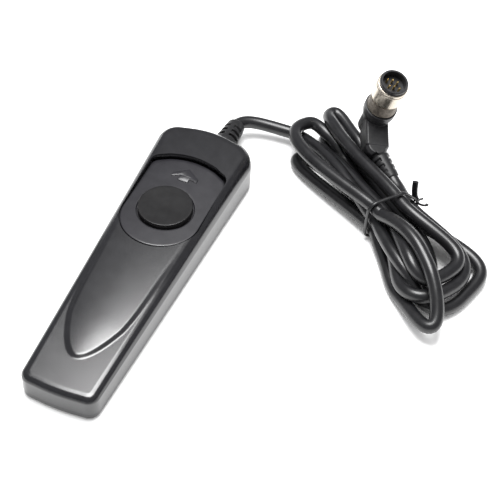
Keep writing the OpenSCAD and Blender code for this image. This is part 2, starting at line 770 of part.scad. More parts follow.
// Threaded ring that turns on the shell: a knurled grip below and a smooth band above
module coupling_ring() {
    r = ring_diameter / 2;
    grip = r - 0.1;
    ridges = 48;
    ring_foot = collar_top + 0.2;
    band_foot = ring_foot + 5.4;
    color([0.78, 0.76, 0.72])
    in_plug()
    difference() {
        union() {
            translate([0, 0, ring_foot])
                linear_extrude(height = band_foot - ring_foot + 0.1)
                    polygon([for (i = [0:2 * ridges - 1])
                        (i % 2 == 0 ? grip : grip - 0.18) * [cos(180 * i / ridges), sin(180 * i / ridges)]]);
            rotate_extrude($fn = 128)
                polygon([[1, band_foot], [r - 0.3, band_foot], [r, band_foot + 0.35], [r, ring_top - 0.9],
                    [r - 0.25, ring_top - 0.5], [r - 0.25, ring_top], [1, ring_top]]);
        }
        translate([0, 0, ring_foot - 1]) cylinder(r = shell_radius + run_gap, h = 20, $fn = 128);
        translate([0, 0, clip_foot - 0.05]) cylinder(r = clip_outer + 0.1, h = 20, $fn = 128);
        // Two windows for the bayonet of the socket
        for (a = [100, 280]) rotate(a) bar([3, 1.6, 1], [r - 0.8, 0, ring_top - 0.6]);
    }
}

module retaining_ring() {
    color([0.6, 0.6, 0.6])
    in_plug()
    translate([0, 0, clip_foot + 0.03])
        rotate(20) rotate_extrude(angle = 320, $fn = 128)
            translate([clip_inner, 0]) square([clip_outer - clip_inner, clip_thick]);
}

module plug_wires() {
    for (i = [0:2]) {
        foot = turned_z([pin_places[i][0], pin_places[i][1], 0], pin_turn) + [0, 0, pin_foot - 0.06];
        color([[0.75, 0.1, 0.08], [0.9, 0.9, 0.88], [0.85, 0.7, 0.1]][i])
        in_plug()
        tube(curve([foot, foot - [0, 0, 1.9], [1.5, (i - 1) * 1.3, -0.8],
            [relief_pivot - 1.2, (i - 1) * 1.2, 0]], 12), 0.45, 8);
    }
}

top_cover();
bottom_cover();
case_screws();
lock_slider();
shutter_button();
return_spring();
spring_bridge();
bridge_screws();
common_leaf();
focus_leaf();
shutter_leaf();
leaf_terminals();
leaf_spacers();
stack_screws();
inner_wires();
cable_clamp();
clamp_screws();
cable_boot();
cable_jacket();
twist_tie();
plug_body();
plug_shell();
contact_insulator();
contact_pins();
coupling_ring();
retaining_ring();
plug_wires();
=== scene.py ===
import math

import bmesh
import bpy
import numpy as np
from mathutils import Matrix, Vector


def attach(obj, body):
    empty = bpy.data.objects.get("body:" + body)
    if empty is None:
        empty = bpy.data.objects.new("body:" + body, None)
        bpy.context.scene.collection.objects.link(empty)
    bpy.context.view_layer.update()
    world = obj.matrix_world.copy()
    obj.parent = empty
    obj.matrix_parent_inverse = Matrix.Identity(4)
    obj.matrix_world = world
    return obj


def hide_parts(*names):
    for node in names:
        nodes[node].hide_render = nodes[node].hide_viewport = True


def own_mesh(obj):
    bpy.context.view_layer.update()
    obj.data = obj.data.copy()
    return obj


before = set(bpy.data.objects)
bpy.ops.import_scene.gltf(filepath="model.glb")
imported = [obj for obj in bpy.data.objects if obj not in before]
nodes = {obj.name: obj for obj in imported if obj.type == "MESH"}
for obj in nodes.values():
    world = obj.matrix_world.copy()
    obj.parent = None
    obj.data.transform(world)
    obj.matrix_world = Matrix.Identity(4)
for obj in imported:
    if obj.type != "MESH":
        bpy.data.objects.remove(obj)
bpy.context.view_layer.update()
MM = 0.001
WELD = 0.0005


# ---------------------------------------------------------------- materials

def shader(name):
    """A new node material and its principled shader."""
    mat = bpy.data.materials.new(name)
    mat.use_nodes = True
    return mat, mat.node_tree.nodes["Principled BSDF"]


def add(mat, kind, **inputs):
    node = mat.node_tree.nodes.new(kind)
    for key, value in inputs.items():
        node.inputs[key.replace("_", " ")].default_value = value
    return node


def ramp(mat, low, high, start=0.3, end=0.7):
    node = mat.node_tree.nodes.new("ShaderNodeValToRGB")
    for element, place, value in zip(node.color_ramp.elements, (start, end), (low, high)):
        element.position = place
        element.color = (value, value, value, 1) if isinstance(value, float) else (*value, 1)
    return node


def finish_of(name, dark, light, rough, metal=0.0, patch=400.0, grain=9000.0, bump=0.3,
              depth=0.02, spec=0.5, stretch=(1, 1, 1)):
    """A moulded, extruded or plated finish: broad colour patches, patchy gloss and a fine grain."""
    mat, out = shader(name)
    link = mat.node_tree.links.new
    place = add(mat, "ShaderNodeTexCoord")
    scale = add(mat, "ShaderNodeMapping", Scale=stretch)
    link(place.outputs["Object"], scale.inputs["Vector"])
    broad = add(mat, "ShaderNodeTexNoise", Scale=patch, Detail=4.0, Roughness=0.6)
    fine = add(mat, "ShaderNodeTexNoise", Scale=grain, Detail=3.0, Roughness=0.7)
    pits = add(mat, "ShaderNodeTexVoronoi", Scale=grain * 0.6)
    for texture in (broad, fine, pits):
        link(scale.outputs["Vector"], texture.inputs["Vector"])
    colour = ramp(mat, dark, light)
    gloss = ramp(mat, float(rough[0]), float(rough[1]))
    link(broad.outputs["Fac"], colour.inputs["Fac"])
    link(colour.outputs["Color"], out.inputs["Base Color"])
    link(broad.outputs["Fac"], gloss.inputs["Fac"])
    link(gloss.outputs["Color"], out.inputs["Roughness"])
    mix = add(mat, "ShaderNodeMath")
    mix.operation = "ADD"
    link(fine.outputs["Fac"], mix.inputs[0])
    link(pits.outputs["Distance"], mix.inputs[1])
    relief = add(mat, "ShaderNodeBump", Strength=bump, Distance=depth * MM)
    link(mix.outputs["Value"], relief.inputs["Height"])
    link(relief.outputs["Normal"], out.inputs["Normal"])
    out.inputs["Metallic"].default_value = metal
    out.inputs["Specular IOR Level"].default_value = spec
    return mat


def wire_colours():
    """Insulation in a different colour for each wire of the node."""
    mat = finish_of("wire_insulation", (0.3, 0.3, 0.3), (0.4, 0.4, 0.4), (0.35, 0.5))
    links = mat.node_tree.links
    pick = add(mat, "ShaderNodeNewGeometry")
    table = ramp(mat, (0.55, 0.03, 0.02), (0.7, 0.7, 0.66), 0.0, 0.4)
    table.color_ramp.interpolation = "CONSTANT"
    third = table.color_ramp.elements.new(0.7)
    third.color = (0.7, 0.45, 0.03, 1)
    links.new(pick.outputs["Random Per Island"], table.inputs["Fac"])
    links.new(table.outputs["Color"], mat.node_tree.nodes["Principled BSDF"].inputs["Base Color"])
    return mat


COVER = finish_of("cover_plastic", (0.005, 0.005, 0.006), (0.008, 0.008, 0.0095), (0.235, 0.25),
                  patch=250.0, grain=7000.0, bump=0.1, depth=0.006, spec=0.8)
PLATE = finish_of("plate_plastic", (0.011, 0.0105, 0.013), (0.014, 0.0135, 0.0165), (0.3, 0.33),
                  patch=250.0, grain=7000.0, bump=0.12, depth=0.006, spec=0.7)
BUTTON = finish_of("button_plastic", (0.004, 0.0037, 0.004), (0.006, 0.0057, 0.006), (0.3, 0.34),
                   patch=250.0, grain=9000.0, bump=0.15, depth=0.006, spec=0.4)
JACKET = finish_of("cable_jacket", (0.006, 0.006, 0.0068), (0.01, 0.01, 0.011), (0.29, 0.35),
                   patch=250.0, grain=5000.0, bump=0.12, depth=0.01, spec=0.55)
RUBBER = finish_of("moulded_rubber", (0.007, 0.007, 0.0076), (0.011, 0.011, 0.012), (0.36, 0.46),
                   grain=6000.0, bump=0.5, depth=0.02)
TIE = finish_of("tie_plastic", (0.005, 0.005, 0.0056), (0.009, 0.009, 0.01), (0.3, 0.42),
                grain=5000.0, bump=0.4, depth=0.02)
NICKEL = finish_of("nickel_plate", (0.5, 0.45, 0.38), (0.6, 0.55, 0.47), (0.26, 0.34), metal=1.0,
                   patch=900.0, grain=12000.0, bump=0.15, depth=0.006)
# Painted shade: the knurled band's nickel is a much darker copy of the same plating, standing in for
# the shade among the knurls.
KNURL_SHADE = finish_of("nickel_knurl_painted_shade", (0.11, 0.095, 0.08), (0.19, 0.17, 0.145), (0.28, 0.36), metal=1.0,
                 patch=700.0, grain=12000.0, bump=0.3, depth=0.01)
STEEL = finish_of("zinc_steel", (0.45, 0.46, 0.48), (0.58, 0.58, 0.6), (0.25, 0.4), metal=1.0,
                  grain=9000.0, bump=0.3, depth=0.01)
SPRING = finish_of("spring_steel", (0.4, 0.4, 0.42), (0.55, 0.55, 0.57), (0.2, 0.34), metal=1.0,
                   grain=9000.0, bump=0.2, depth=0.006, stretch=(1, 1, 6))
BRONZE = finish_of("leaf_bronze", (0.5, 0.3, 0.12), (0.66, 0.42, 0.18), (0.24, 0.38), metal=1.0,
                   grain=9000.0, bump=0.3, depth=0.006, stretch=(6, 1, 1))
GOLD = finish_of("pin_gold", (0.85, 0.6, 0.22), (0.95, 0.72, 0.32), (0.15, 0.28), metal=1.0,
                 grain=9000.0, bump=0.15, depth=0.005)
FIBRE = finish_of("pressed_fibre", (0.25, 0.12, 0.045), (0.36, 0.19, 0.08), (0.6, 0.75),
                  grain=5000.0, bump=0.6, depth=0.03)
SOCKET = finish_of("insulator_black", (0.006, 0.006, 0.007), (0.01, 0.01, 0.011), (0.35, 0.5),
                   grain=9000.0, bump=0.3, depth=0.01)
WIRES = wire_colours()


# ---------------------------------------------------------------- mesh helpers

def piece(name, points, faces, mat, body, soft=32, merge=0.0, replaced=(), slot=None):
    """A mesh piece from points in millimetres, riding on a body."""
    mesh = bpy.data.meshes.new(name)
    mesh.from_pydata([tuple(p) for p in np.asarray(points, float) * MM], [], faces)
    if merge:
        build = bmesh.new()
        build.from_mesh(mesh)
        bmesh.ops.remove_doubles(build, verts=build.verts, dist=merge * MM)
        bmesh.ops.recalc_face_normals(build, faces=build.faces)
        build.to_mesh(mesh)
        build.free()
    obj = bpy.data.objects.new(name, mesh)
    bpy.context.scene.collection.objects.link(obj)
    dress(obj, mat, body, soft, replaced, slot)
    return obj


def dress(obj, mat, body, soft, replaced=(), slot=None):
    mesh = obj.data
    mesh.materials.clear()
    if mat:
        mesh.materials.append(mat)
    mesh.shade_smooth()
    mesh.set_sharp_from_angle(angle=math.radians(soft))
    if body:
        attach(obj, body)
    if replaced:
        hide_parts(*replaced)


def grid_faces(rings, count, wrap=False):
    """Quads between rings of equally many points."""
    faces = []
    for k in range(rings if wrap else rings - 1):
        a, b = k * count, (k + 1) % rings * count
        for i in range(count):
            j = (i + 1) % count
            faces.append((a + i, a + j, b + j, b + i))
    return faces


def applied(obj):
    """Turns obj's modifiers into its own mesh."""
    graph = bpy.context.evaluated_depsgraph_get()
    made = bpy.data.meshes.new_from_object(obj.evaluated_get(graph))
    obj.modifiers.clear()
    obj.data = made


def cut(obj, *cutters):
    """Subtracts closed solids from obj and deletes them."""
    for cutter in cutters:
        tool = obj.modifiers.new("cut", "BOOLEAN")
        tool.operation = "DIFFERENCE"
        tool.solver = "EXACT"
        tool.object = cutter
    applied(obj)
    for cutter in cutters:
        bpy.data.objects.remove(cutter)


def cleaned(obj):
    """Drops the faces without area that cutting and rounding leave behind."""
    build = bmesh.new()
    build.from_mesh(obj.data)
    for _ in range(3):
        bmesh.ops.triangulate(build, faces=build.faces)
        bmesh.ops.remove_doubles(build, verts=build.verts, dist=WELD * MM)
        bmesh.ops.dissolve_degenerate(build, edges=build.edges, dist=WELD * MM)
        bmesh.ops.holes_fill(build, edges=[e for e in build.edges if e.is_boundary])
    build.to_mesh(obj.data)
    build.free()


def prism(outline, low, high):
    """A closed straight solid for cutting."""
    n = len(outline)
    points = [(*p, low) for p in outline] + [(*p, high) for p in outline]
    faces = [tuple(range(n))[::-1], tuple(range(n, 2 * n))] + grid_faces(2, n)
    return piece("cutter", points, faces, None, None)


def disc(centre, r, low, high, count=96):
    a = np.arange(count) * 2 * math.pi / count
    return prism([(centre[0] + r * math.cos(t), centre[1] + r * math.sin(t)) for t in a], low, high)


def smooth_line(points, spacing):
    """A Catmull-Rom line through the points."""
    made = []
    p = np.vstack([2 * points[0] - points[1], points, 2 * points[-1] - points[-2]])
    for i in range(1, len(p) - 2):
        m = max(1, int(round(np.linalg.norm(p[i + 1] - p[i]) / spacing)))
        for t in np.arange(m) / m:
            made.append(0.5 * (2 * p[i] + (p[i + 1] - p[i - 1]) * t
                               + (2 * p[i - 1] - 5 * p[i] + 4 * p[i + 1] - p[i + 2]) * t * t
                               + (3 * p[i] - p[i - 1] - 3 * p[i + 1] + p[i + 2]) * t ** 3))
    made.append(points[-1])
    return np.array(made)


def placed(points, matrix, origin):
    return np.asarray(points, float) @ np.asarray(matrix, float).T + np.asarray(origin, float)


def lathe(name, profile, mat, body, matrix=np.eye(3), origin=(0, 0, 0), count=192, soft=35, **more):
    """A ring-shaped or solid turned piece from its closed profile of (radius, height)."""
    a = np.arange(count) * 2 * math.pi / count
    rings = [np.stack([r * np.cos(a), r * np.sin(a), np.full(count, z)], 1) for r, z in profile]
    points = placed(np.concatenate(rings), matrix, origin)
    return piece(name, points, grid_faces(len(profile), count, True), mat, body, soft,
                 merge=0.0005, **more)


def rounded(profile, radius, steps=4, closed=True):
    """The same profile with its corners rounded."""
    points = [np.array(p, float) for p in profile]
    made = []
    for i, p in enumerate(points):
        if not closed and i in (0, len(points) - 1):
            made.append(p)
            continue
        before, after = points[i - 1], points[(i + 1) % len(points)]
        r = radius[i] if isinstance(radius, (list, tuple)) else radius
        r = min(r, 0.45 * np.linalg.norm(before - p), 0.45 * np.linalg.norm(after - p))
        if r < 1e-4:
            made.append(p)
            continue
        start = p + (before - p) / np.linalg.norm(before - p) * r
        end = p + (after - p) / np.linalg.norm(after - p) * r
        for t in np.linspace(0, 1, steps + 1):
            made.append((1 - t) ** 2 * start + 2 * t * (1 - t) * p + t * t * end)
    return made


def turn(axis, degrees):
    return np.array(Matrix.Rotation(math.radians(degrees), 3, axis))


# ---------------------------------------------------------------- handset, in the CAD's own numbers

HALF, TAIL_W, HEAD_W, TAIL_H, HEAD_H = 54.0, 23.1, 33.1, 9.1, 13.9
PARTING, BEVEL, WALL, TONGUE = 2.3, 2.4, 1.6, 0.5
BUTTON_Y, PLATE_TOP, PLATE_UNDER, CROWN, BUTTON_R = 17.0, 12.5, 11.0, 128.0, 8.35
TONGUE_CROWN = 0.4
TRAVEL = 2.0
PLATE_R, PLATE_LOW_Y, PLATE_EDGE = 12.4, 13.8, 38.7
POCKET_GAP, EDGE_GAP, UNDER_GAP = 0.35, 0.7, 0.4
HOOK_X, HOOK_PLACES = 11.3, (13, 30)
COLLAR_R, COLLAR_FOOT = 9.8, 9.4
ARROW_Y = 30.6
CABLE_X, CABLE_Z = 3.0, 6.4
CASE_SCREWS = ((6.5, -45), (-6.5, -45), (11.3, 43.5), (-11.3, 43.5))


def along(y):
    return (y + HALF) / (2 * HALF)


def half_width(y):
    return (TAIL_W + (HEAD_W - TAIL_W) * along(y)) / 2


def top_height(y):
    return TAIL_H + (HEAD_H - TAIL_H) * along(y)


def side_height(y):
    return 7.5 + (9.6 - 7.5) * along(y)


def arc(centre, r, start, end, steps):
    a = np.radians(np.linspace(start, end, steps + 1))
    return [(centre[0] + r * math.cos(t), centre[1] + r * math.sin(t)) for t in a]


def right_side(inset, steps=24):
    tail, head = max(0.4, 3.5 - inset), max(0.4, 7 - inset)
    low, high = -HALF + inset + tail + 0.5, HALF - inset - head - 1.4
    side = [(x, -HALF + inset + x * x / 120) for x in (0, 2, 4)]
    side += arc((half_width(low) - inset - tail, low), tail, -84, 0, steps)
    side += arc((half_width(high) - inset - head, high), head, 0, 76, steps)
    return side + [(x, HALF - inset - x * x / 62) for x in (7, 5, 3.5, 1.7, 0)]


def even(points, count):
    """Points at equal steps along an open line."""
    points = np.asarray(points, float)
    run = np.concatenate([[0], np.cumsum(np.linalg.norm(np.diff(points, axis=0), axis=1))])
    at = np.linspace(0, run[-1], count)
    return np.stack([np.interp(at, run, points[:, k]) for k in range(points.shape[1])], 1)


def mirror(right):
    """A closed outline from a right half whose ends lie on the middle line."""
    right = np.asarray(right, float)
    left = right[-2:0:-1] * [-1, 1]
    return np.concatenate([right, left])


def outline(inset, half_count):
    return mirror(even(right_side(inset), half_count))


def tongue_edge():
    """Right half of the tongue's edge: a parabola that leans out into the side of the case."""
    edge = [(x, -42.5 + (x / 2.5) ** 2) for x in np.linspace(0, 9, 25)]
    edge += [(9.75, -25.8), (10.35, -21.5), (10.9, -16.0)]
    edge += [(half_width(y) - d, y) for y, d in ((-8, 2.1), (0, 1.5), (8, 1.0), (16, 0.7), (30, 0.6))]
    edge += [p for p in right_side(0.6) if p[1] > 38]
    return smooth_line(np.array(edge), 0.8)


def tongue_rise(points):
    """How far the tongue lifts each point of the top face."""
    edge = tongue_edge()
    start, run = edge[:-1], np.diff(edge, axis=0)
    rise = np.zeros(len(points))
    for k in range(0, len(points), 4000):
        p = np.abs(points[k:k + 4000, :2]) * [1, 0] + points[k:k + 4000, :2] * [0, 1]
        rel = p[:, None] - start[None]
        t = np.clip((rel * run).sum(2) / (run ** 2).sum(1), 0, 1)
        d = np.linalg.norm(rel - t[..., None] * run, axis=2).min(1)
        across = np.interp(p[:, 1], edge[:, 1], edge[:, 0])
        d = np.where(p[:, 0] < across, d, 0)
        wide = np.interp(p[:, 1], [-30, -6, 12], [1.7, 2.4, 3.4])
        t = np.clip(d / wide, 0, 1)
        up = np.clip((p[:, 1] - edge[0, 1]) / 16, 0, 1)
        crown = np.maximum(1 - (p[:, 0] / np.maximum(across, 0.1)) ** 2, 0) * up * (2 - up)
        rise[k:k + 4000] = TONGUE * t * t * (3 - 2 * t) + TONGUE_CROWN * crown
    return rise


def toward_middle(ring, share, margin=15.0):
    """A ring drawn in towards the case's middle line."""
    middle = np.stack([ring[:, 0] * 0, np.clip(ring[:, 1], -HALF + margin - 3, HALF - margin)], 1)
    return ring + (middle - ring) * share


def closed_case(low_rings, top_steps, top_z, half_count):
    """Rings up the side, then rings over the top and the underside to the middle line."""
    rings = list(low_rings)
    last = rings[-1][:, :2]
    for s in np.linspace(0, 1, top_steps + 1)[1:]:
        flat = toward_middle(last, s)
        rings.append(np.column_stack([flat, top_z(flat)]))
    first = low_rings[0][:, :2]
    under = []
    for s in np.linspace(0, 1, 9)[1:]:
        flat = toward_middle(first, s)
        under.append(np.column_stack([flat, np.full(len(flat), low_rings[0][0, 2])]))
    rings = under[::-1] + rings
    return np.concatenate(rings), grid_faces(len(rings), 2 * half_count - 2)


def slider_outline(r, top_edge, corner, count):
    right = arc((0, PLATE_LOW_Y), r, -90, 0, 40)
    right += arc((r - corner, top_edge - corner - 2.6), corner, 0, 58, 16)
    right += [(x, top_edge - x * x / 44) for x in np.linspace(8, 0, 9)]
    return mirror(even(right, count))


def bar_outline(wide, deep, x, y):
    return [(x - wide / 2, y - deep / 2), (x + wide / 2, y - deep / 2),
            (x + wide / 2, y + deep / 2), (x - wide / 2, y + deep / 2)]


def stadium(r, x, y, long):
    return arc((x, y + long), r, 0, 180, 40) + arc((x, y), r, 180, 360, 40)


def make_top_cover():
    count = 330
    rings = []
    for inset, z in ((0.18, PARTING), (0.0, PARTING + 0.18)):
        ring = outline(inset, count)
        rings.append(np.column_stack([ring, np.full(len(ring), z)]))
    base = outline(0, count)
    for t in (0.3, 0.6, 0.85):
        z = PARTING + (side_height(base[:, 1]) - 0.35 - PARTING) * t
        rings.append(np.column_stack([base, z]))
    # The bevel: a small round, a nearly straight slope, then a small round on to the top face
    bevel = rounded([(0, -0.35), (0, 0.0), (0.5, 0.55), (1.3, 0.86), (BEVEL, 1.0), (BEVEL + 0.5, 1.0)],
                    [0, 0.3, 0.35, 0.4, 0.35, 0], 5, closed=False)
    for inset, level in bevel:
        ring = outline(max(inset, 0), count)
        low, high = side_height(ring[:, 1]), top_height(ring[:, 1])
        z = low + (high - low) * level if level > 0 else low + level
        z = z + tongue_rise(ring)
        rings.append(np.column_stack([ring, z]))
    points, faces = closed_case(rings, 56, lambda p: top_height(p[:, 1]) + tongue_rise(p), count)
    cover = piece("top_cover_shell", points, faces, COVER, None, merge=0.002)
    inner = outline(WALL, 90)
    low = np.column_stack([inner, np.full(len(inner), PARTING - 1)])
    side = np.column_stack([inner, side_height(inner[:, 1]) - 0.5])
    roof = outline(BEVEL + WALL - 0.4, 90)
    roof = np.column_stack([roof, top_height(roof[:, 1]) - WALL - 0.1])
    n = len(inner)
    hollow = piece("cutter", np.concatenate([low, side, roof]),
                   [tuple(range(n))[::-1], tuple(range(2 * n, 3 * n))] + grid_faces(3, n), None, None)
    keep = prism(slider_outline(PLATE_R + WALL, PLATE_EDGE + TRAVEL + WALL, 4, 60), 9.7, 20)
    cut(hollow, keep)
    pocket = prism(slider_outline(PLATE_R + POCKET_GAP, PLATE_EDGE + EDGE_GAP, 3.3, 110),
                   PLATE_UNDER - 0.08, 22)
    under = prism(slider_outline(PLATE_R + POCKET_GAP, PLATE_EDGE + TRAVEL + UNDER_GAP, 3.3, 90),
                  PLATE_UNDER - 0.1, PLATE_TOP + 0.15)
    slot = prism(stadium(9.95, 0, BUTTON_Y, TRAVEL), 1, 20)
    hooks = [prism(bar_outline(1.5, 5.3, side * HOOK_X, y + TRAVEL / 2), 5, 20)
             for side in (-1, 1) for y in HOOK_PLACES]
    entry = lathe("cutter", [(0, 0), (3.35, 0), (3.35, 8), (0, 8)], None, None,
                  turn("X", -90), (CABLE_X, HALF - 4, CABLE_Z), 64)
    cut(cover, hollow, pocket, under, slot, entry, *hooks)
    trim = cover.modifiers.new("edge", "BEVEL")
    trim.width = 0.12 * MM
    trim.segments = 2
    trim.limit_method = "ANGLE"
    trim.angle_limit = math.radians(60)
    applied(cover)
    cleaned(cover)
    dress(cover, COVER, "case", 38, ("top_cover",), "cover_plastic")


def make_bottom_cover():
    count = 240
    rings = []
    for inset, z in rounded([(1.3, 0), (0.9, 0.0), (0.9, 0.6), (0.15, 0.6), (0.15, 2.25), (0.6, 2.25)],
                            [0, 0.3, 0.1, 0.25, 0.15, 0], 3, closed=False):
        ring = outline(inset, count)
        rings.append(np.column_stack([ring, np.full(len(ring), z)]))
    points, faces = closed_case(rings, 8, lambda p: np.full(len(p), 2.25), count)
    cover = piece("bottom_cover_shell", points, faces, COVER, None, merge=0.002)
    room = prism(outline(WALL + 0.1, 90), 1.5, 4)
    screws = []
    for x, y in CASE_SCREWS:
        screws += [disc((x, y), 2.0, -1, 1.2), disc((x, y), 1.05, -0.5, 4, 48)]
    cut(cover, room, *screws)
    cleaned(cover)
    dress(cover, COVER, "case", 32, ("bottom_cover",), "cover_plastic")


def make_slider():
    """Plate, bore and collar as one closed ring of rings round the button's centre."""
    count = 400
    edge = slider_outline(PLATE_R, PLATE_EDGE, 3, 1200)
    rel = edge - [0, BUTTON_Y]
    angle = np.arctan2(rel[:, 1], rel[:, 0])
    order = np.argsort(angle)
    at = np.arange(count) * 2 * math.pi / count - math.pi
    reach = np.interp(at, angle[order], np.linalg.norm(rel, axis=1)[order], period=2 * math.pi)
    ray = np.stack([np.cos(at), np.sin(at)], 1)

    def ring(r, z=None, drop=0.0):
        flat = ray * (r[:, None] if np.ndim(r) else r) + [0, BUTTON_Y]
        if z is None:
            z = PLATE_TOP - CROWN + np.sqrt(CROWN ** 2 - flat[:, 0] ** 2) - drop
        return np.column_stack([flat, np.full(count, z)])

    rings = [ring(reach, PLATE_UNDER), ring(reach, None, 0.9), ring(reach, None, 0.3)]
    for t in (0.35, 0.7, 1.0):
        a = math.radians(90 * t)
        rings.append(ring(reach - 0.3 * (1 - math.cos(a)), None, 0.3 * (1 - math.sin(a))))
    mouth = BUTTON_R + 0.62
    for t in np.linspace(0, 1, 16)[1:]:
        rings.append(ring(reach - 0.3 + (mouth + 0.15 - reach + 0.3) * t))
    for r, drop in ((mouth, 0.02), (mouth - 0.08, 0.07), (mouth - 0.16, 0.17), (BUTTON_R + 0.4, 0.3)):
        rings.append(ring(r, None, drop))
    rings += [ring(BUTTON_R + 0.4, PLATE_UNDER + 0.6), ring(BUTTON_R + 0.08, PLATE_UNDER + 0.6),
              ring(BUTTON_R + 0.08, COLLAR_FOOT + 0.1), ring(BUTTON_R + 0.2, COLLAR_FOOT),
              ring(COLLAR_R - 0.1, COLLAR_FOOT), ring(COLLAR_R, COLLAR_FOOT + 0.1),
              ring(COLLAR_R, PLATE_UNDER)]
    piece("lock_plate", np.concatenate(rings), grid_faces(len(rings), count, True), PLATE, "slider",
          30, replaced=("lock_slider",), slot="slider_plastic")
    for side in (-1, 1):
        for y in HOOK_PLACES:
            leg = [(side * (HOOK_X + dx), z) for dx, z in
                   ((-0.55, PLATE_UNDER + 0.2), (-0.55, 9.5), (-1.4, 9.5), (-1.4, 8.6),
                    (0.55, 8.6), (0.55, PLATE_UNDER + 0.2))]
            n = len(leg)
            points = [(x, y - 1.5, z) for x, z in leg] + [(x, y + 1.5, z) for x, z in leg]
            faces = [tuple(range(n))[::-1], tuple(range(n, 2 * n))] + grid_faces(2, n)
            piece(f"lock_hook_{'left' if side < 0 else 'right'}_{y}", points, faces, PLATE, "slider",
                  merge=0.0001, slot="slider_plastic")
    make_arrow()


def make_arrow():
    """A raised arrow with softened edges that follows the plate's crown."""
    half = 4.2
    shape = [(0, 4.4), (-half, 1.4), (-half, -0.2), (-1.7, 1.3), (-1.7, -1), (1.7, -1),
             (1.7, 1.3), (half, -0.2), (half, 1.4)]
    shape = np.array(rounded(shape, 0.2, 3))
    tangent = np.roll(shape, -1, 0) - np.roll(shape, 1, 0)
    normal = np.stack([-tangent[:, 1], tangent[:, 0]], 1)
    normal /= np.linalg.norm(normal, axis=1)[:, None]
    rings = []
    for inward, rise in ((-0.06, -0.3), (-0.06, 0.12), (0.0, 0.22), (0.08, 0.26)):
        flat = shape + normal * inward
        z = PLATE_TOP - CROWN + np.sqrt(CROWN ** 2 - flat[:, 0] ** 2) + rise
        rings.append(np.column_stack([flat + [0, ARROW_Y], z]))
    n = len(shape)
    caps = [tuple(range(n))[::-1], tuple(range(3 * n, 4 * n))]
    arrow = piece("lock_arrow", np.concatenate(rings), grid_faces(4, n) + caps, PLATE, None, 40,
                  merge=0.0001)
    build = bmesh.new()
    build.from_mesh(arrow.data)
    bmesh.ops.triangulate(build, faces=build.faces)
    bmesh.ops.recalc_face_normals(build, faces=build.faces)
    build.to_mesh(arrow.data)
    build.free()
    dress(arrow, PLATE, "slider", 40, (), "slider_plastic")


def make_button():
    r, top, foot = BUTTON_R, PLATE_TOP + 1.3, 8.2
    dome = [(x, top - 0.12 + 0.1 * (x / (r - 0.5)) ** 2) for x in np.linspace(0, r - 0.5, 14)]
    rim = rounded([(r - 0.5, top - 0.02), (r, top - 0.02), (r, foot + 1.1)], [0, 0.32, 0], 8,
                  closed=False)
    rest = [(9.3, foot + 1.1), (9.3, foot), (r - 1.2, foot), (r - 1.2, top - 1.4), (1.5, top - 1.4),
            (1.5, 5.7), (1.2, 5.57), (0, 5.57)]
    lathe("shutter_button_cap", dome[:-1] + rim + rest, BUTTON, "button", origin=(0, BUTTON_Y, 0),
          count=256, replaced=("shutter_button",), slot="button_plastic")


# ---------------------------------------------------------------- plug

PLUG_TURN = turn("Z", -68.7) @ turn("Y", 15.1) @ turn("X", -9.2)
PLUG_AT = np.array([45.7, 79.7, 14.8])
PIVOT, RELIEF_TURN, RELIEF_LONG = 12.0, 30.0, 11.0
COLLAR_TOP, RING_TOP, BAND_FOOT = 8.2, 20.6, 13.8


def plug_point(p):
    return PLUG_AT + PLUG_TURN @ np.array(p, float)


def make_coupling_ring():
    """One closed ring: diamond knurl below, two plain bands above, bored through."""
    r, bore, count = 5.0, 3.98, 720
    foot = COLLAR_TOP + 0.2
    a = np.arange(count) * 2 * math.pi / count
    rings = []

    def ring(radius, z):
        radius = np.broadcast_to(radius, (count,))
        return np.stack([radius * np.cos(a), radius * np.sin(a), np.full(count, z)], 1)

    grip = r - 0.1
    rings.append(ring(bore, foot))
    rings.append(ring(grip - 0.3, foot))
    rings.append(ring(grip - 0.06, foot + 0.1))
    steps = 54
    for k in range(steps + 1):
        z = foot + 0.2 + (BAND_FOOT - foot - 0.4) * k / steps
        lines = 58
        one = np.abs(((a * lines / (2 * math.pi) + z / 0.62) % 1) - 0.5) * 2
        two = np.abs(((a * lines / (2 * math.pi) - z / 0.62) % 1) - 0.5) * 2
        fade = min(1.0, k / 3, (steps - k) / 3)
        rings.append(ring(grip - 0.17 * fade * (1 - np.minimum(one, two)), z))
    grip_faces = len(rings)
    profile = rounded([(grip - 0.3, BAND_FOOT - 0.15), (grip - 0.3, BAND_FOOT), (r, BAND_FOOT + 0.1),
                       (r, RING_TOP - 1.3), (r - 0.2, RING_TOP - 1.15), (r - 0.2, RING_TOP - 0.95),
                       (r - 0.02, RING_TOP - 0.8), (r - 0.02, RING_TOP - 0.3), (r - 0.25, RING_TOP),
                       (4.35, RING_TOP)],
                      [0, 0.05, 0.12, 0.1, 0.06, 0.06, 0.1, 0.15, 0.12, 0], 4, closed=False)
    rings += [ring(p[0], p[1]) for p in profile]
    rings += [ring(4.35, 9.95), ring(bore, 9.95)]
    points = placed(np.concatenate(rings), PLUG_TURN, PLUG_AT)
    made = piece("coupling_ring_turned", points, grid_faces(len(rings), count, True), NICKEL, "ring",
                 40, replaced=("coupling_ring",), slot="ring_nickel")
    # The faces of the knurled band take the darker nickel, which is painted shade.
    made.data.materials.append(KNURL_SHADE)
    for face in made.data.polygons:
        if face.index < (grip_faces - 1) * count:
            face.material_index = 1


def softened(node, name, mat, body, voxel, passes, slot):
    """A moulded copy of a CAD node: remeshed finely and smoothed, so that its edges are round."""
    copy = bpy.data.objects.new(name, nodes[node].data.copy())
    bpy.context.scene.collection.objects.link(copy)
    weld = bmesh.new()
    weld.from_mesh(copy.data)
    bmesh.ops.remove_doubles(weld, verts=weld.verts, dist=0.001 * MM)
    weld.to_mesh(copy.data)
    weld.free()
    remesh = copy.modifiers.new("remesh", "REMESH")
    remesh.mode = "VOXEL"
    remesh.voxel_size = voxel * MM
    smooth = copy.modifiers.new("smooth", "SMOOTH")
    smooth.factor = 0.5
    smooth.iterations = passes
    applied(copy)
    dress(copy, mat, body, 60, (node,), slot)


